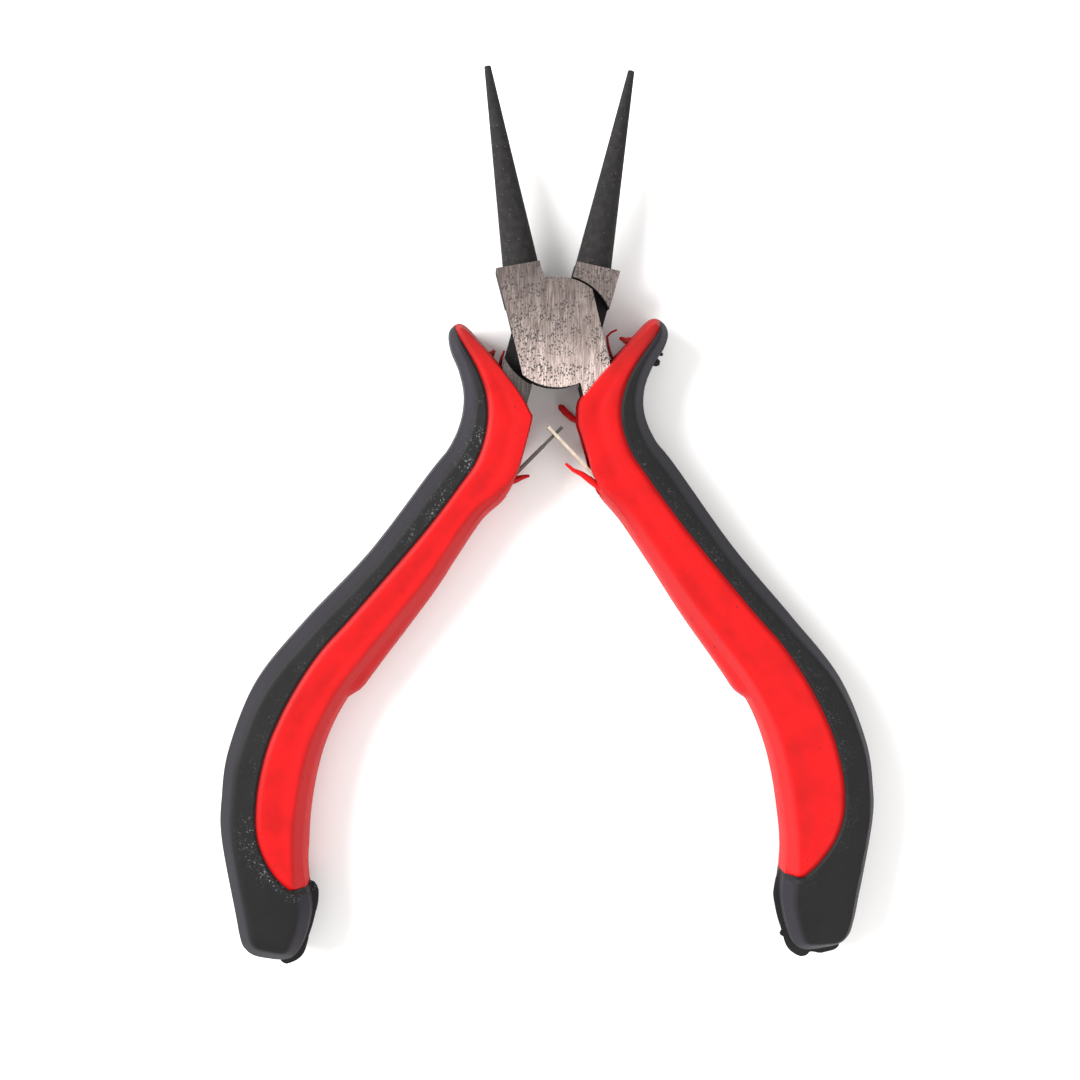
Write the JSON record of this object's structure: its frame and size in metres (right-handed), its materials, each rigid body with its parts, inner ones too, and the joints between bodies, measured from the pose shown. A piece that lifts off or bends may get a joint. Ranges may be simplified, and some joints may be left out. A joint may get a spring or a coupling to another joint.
{
  "type": "round nose pliers",
  "caption": "Mini round nose pliers with two conical jaws, a flush riveted lap joint, interlocked leaf springs and two-colour moulded grips.",
  "frame": {"origin": "on the pivot axis, at the ground back face of the joint", "axes": "+Y towards the jaws along the line midway between the halves, +X to the right seen from the front, +Z along the pivot towards the front face"},
  "size_m": [0.0892, 0.1215, 0.0094],
  "materials": {
    "forged_steel": "blackened, with ground joint faces",
    "rivet_steel": "ground flush",
    "spring_steel": "bright rolled strip",
    "grip_red": "satin moulded",
    "grip_black": "matte moulded"
  },
  "bodies": {
    "rear_half": {"rear_half": "forged_steel", "pivot_rivet": "rivet_steel", "left_grip_core": "grip_red", "left_grip_overmould": "grip_black", "left_spring_tail": "spring_steel", "left_spring_rivet": "rivet_steel"},
    "front_half": {"front_half": "forged_steel", "right_grip_core": "grip_red", "right_grip_overmould": "grip_black", "right_spring_tail": "spring_steel", "right_spring_rivet": "rivet_steel"},
    "left_leaf": {"left_spring_blade": "spring_steel"},
    "right_leaf": {"right_spring_blade": "spring_steel"}
  },
  "joints": [
    {"name": "jaw_pivot", "type": "hinge", "parent": "rear_half", "child": "front_half", "pos_m": [0, 0, 0], "axis": [0, 0, 1], "range_deg": [-29, 5], "stiffness_Nm_per_rad": 0.4},
    {"name": "left_leaf_flex", "type": "hinge", "parent": "rear_half", "child": "left_leaf", "pos_m": [-0.00667, -0.02059, 0.0038], "axis": [0, 0, 1], "range_deg": [-4.5, 22.5]},
    {"name": "right_leaf_flex", "type": "hinge", "parent": "front_half", "child": "right_leaf", "pos_m": [0.00667, -0.02059, 0.0038], "axis": [0, 0, 1], "range_deg": [-22.5, 4.5]}
  ],
  "couplings": [
    {"joint": "left_leaf_flex", "follows": "jaw_pivot", "ratio": -0.738},
    {"joint": "right_leaf_flex", "follows": "jaw_pivot", "ratio": 0.738}
  ]
}
